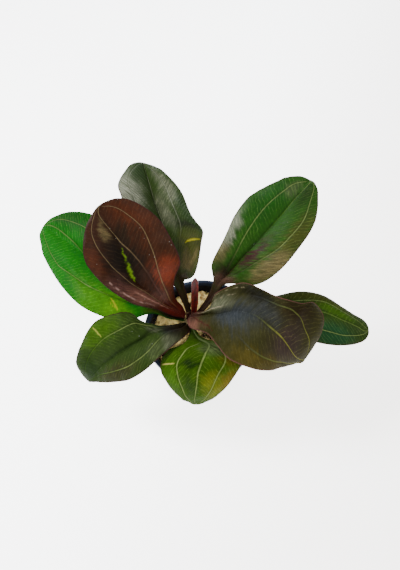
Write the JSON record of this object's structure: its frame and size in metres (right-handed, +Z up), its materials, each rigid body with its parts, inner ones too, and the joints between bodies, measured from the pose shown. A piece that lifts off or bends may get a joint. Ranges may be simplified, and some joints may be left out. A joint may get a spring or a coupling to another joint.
{
  "type": "potted echinodorus aquarium plant",
  "caption": "Red and green broad-leaved echinodorus rosette rooted in mineral wool in a small black slotted nursery pot",
  "frame": {"origin": "centre of the pot's underside, on the surface it stands on", "axes": "+Z up; -Y towards the viewer of the picture, +X to the viewer's right"},
  "size_m": [0.1654, 0.105, 0.1029],
  "materials": {
    "pot_black": "black moulded plastic, satin",
    "mineral_wool": "coarse cream mineral wool",
    "rootstock": "dark brown, fibrous",
    "leaf_silvery_green": "living leaf, dark green with a silvery sheen",
    "leaf_red_brown": "living leaf, glossy red-brown",
    "leaf_bright_green": "living leaf, glossy bright green",
    "leaf_deep_green": "living leaf, dark green, satin",
    "leaf_yellow_green": "living leaf, green turning yellow, glossy",
    "leaf_slate_purple": "living leaf, slate purple over olive, satin",
    "leaf_olive_green": "living leaf, green with an olive edge",
    "leaf_mid_green": "living leaf, green with a maroon patch",
    "leaf_crimson": "young rolled leaf, crimson"
  },
  "bodies": {
    "root": {"pot": "pot_black", "wool_plug": "mineral_wool", "crown": "rootstock", "leaf_back_left": "leaf_silvery_green", "leaf_red": "leaf_red_brown", "leaf_left": "leaf_bright_green", "leaf_front_left": "leaf_deep_green", "leaf_front": "leaf_yellow_green", "leaf_front_right": "leaf_slate_purple", "leaf_right": "leaf_olive_green", "leaf_back_right": "leaf_mid_green", "young_leaf": "leaf_crimson"}
  },
  "joints": []
}
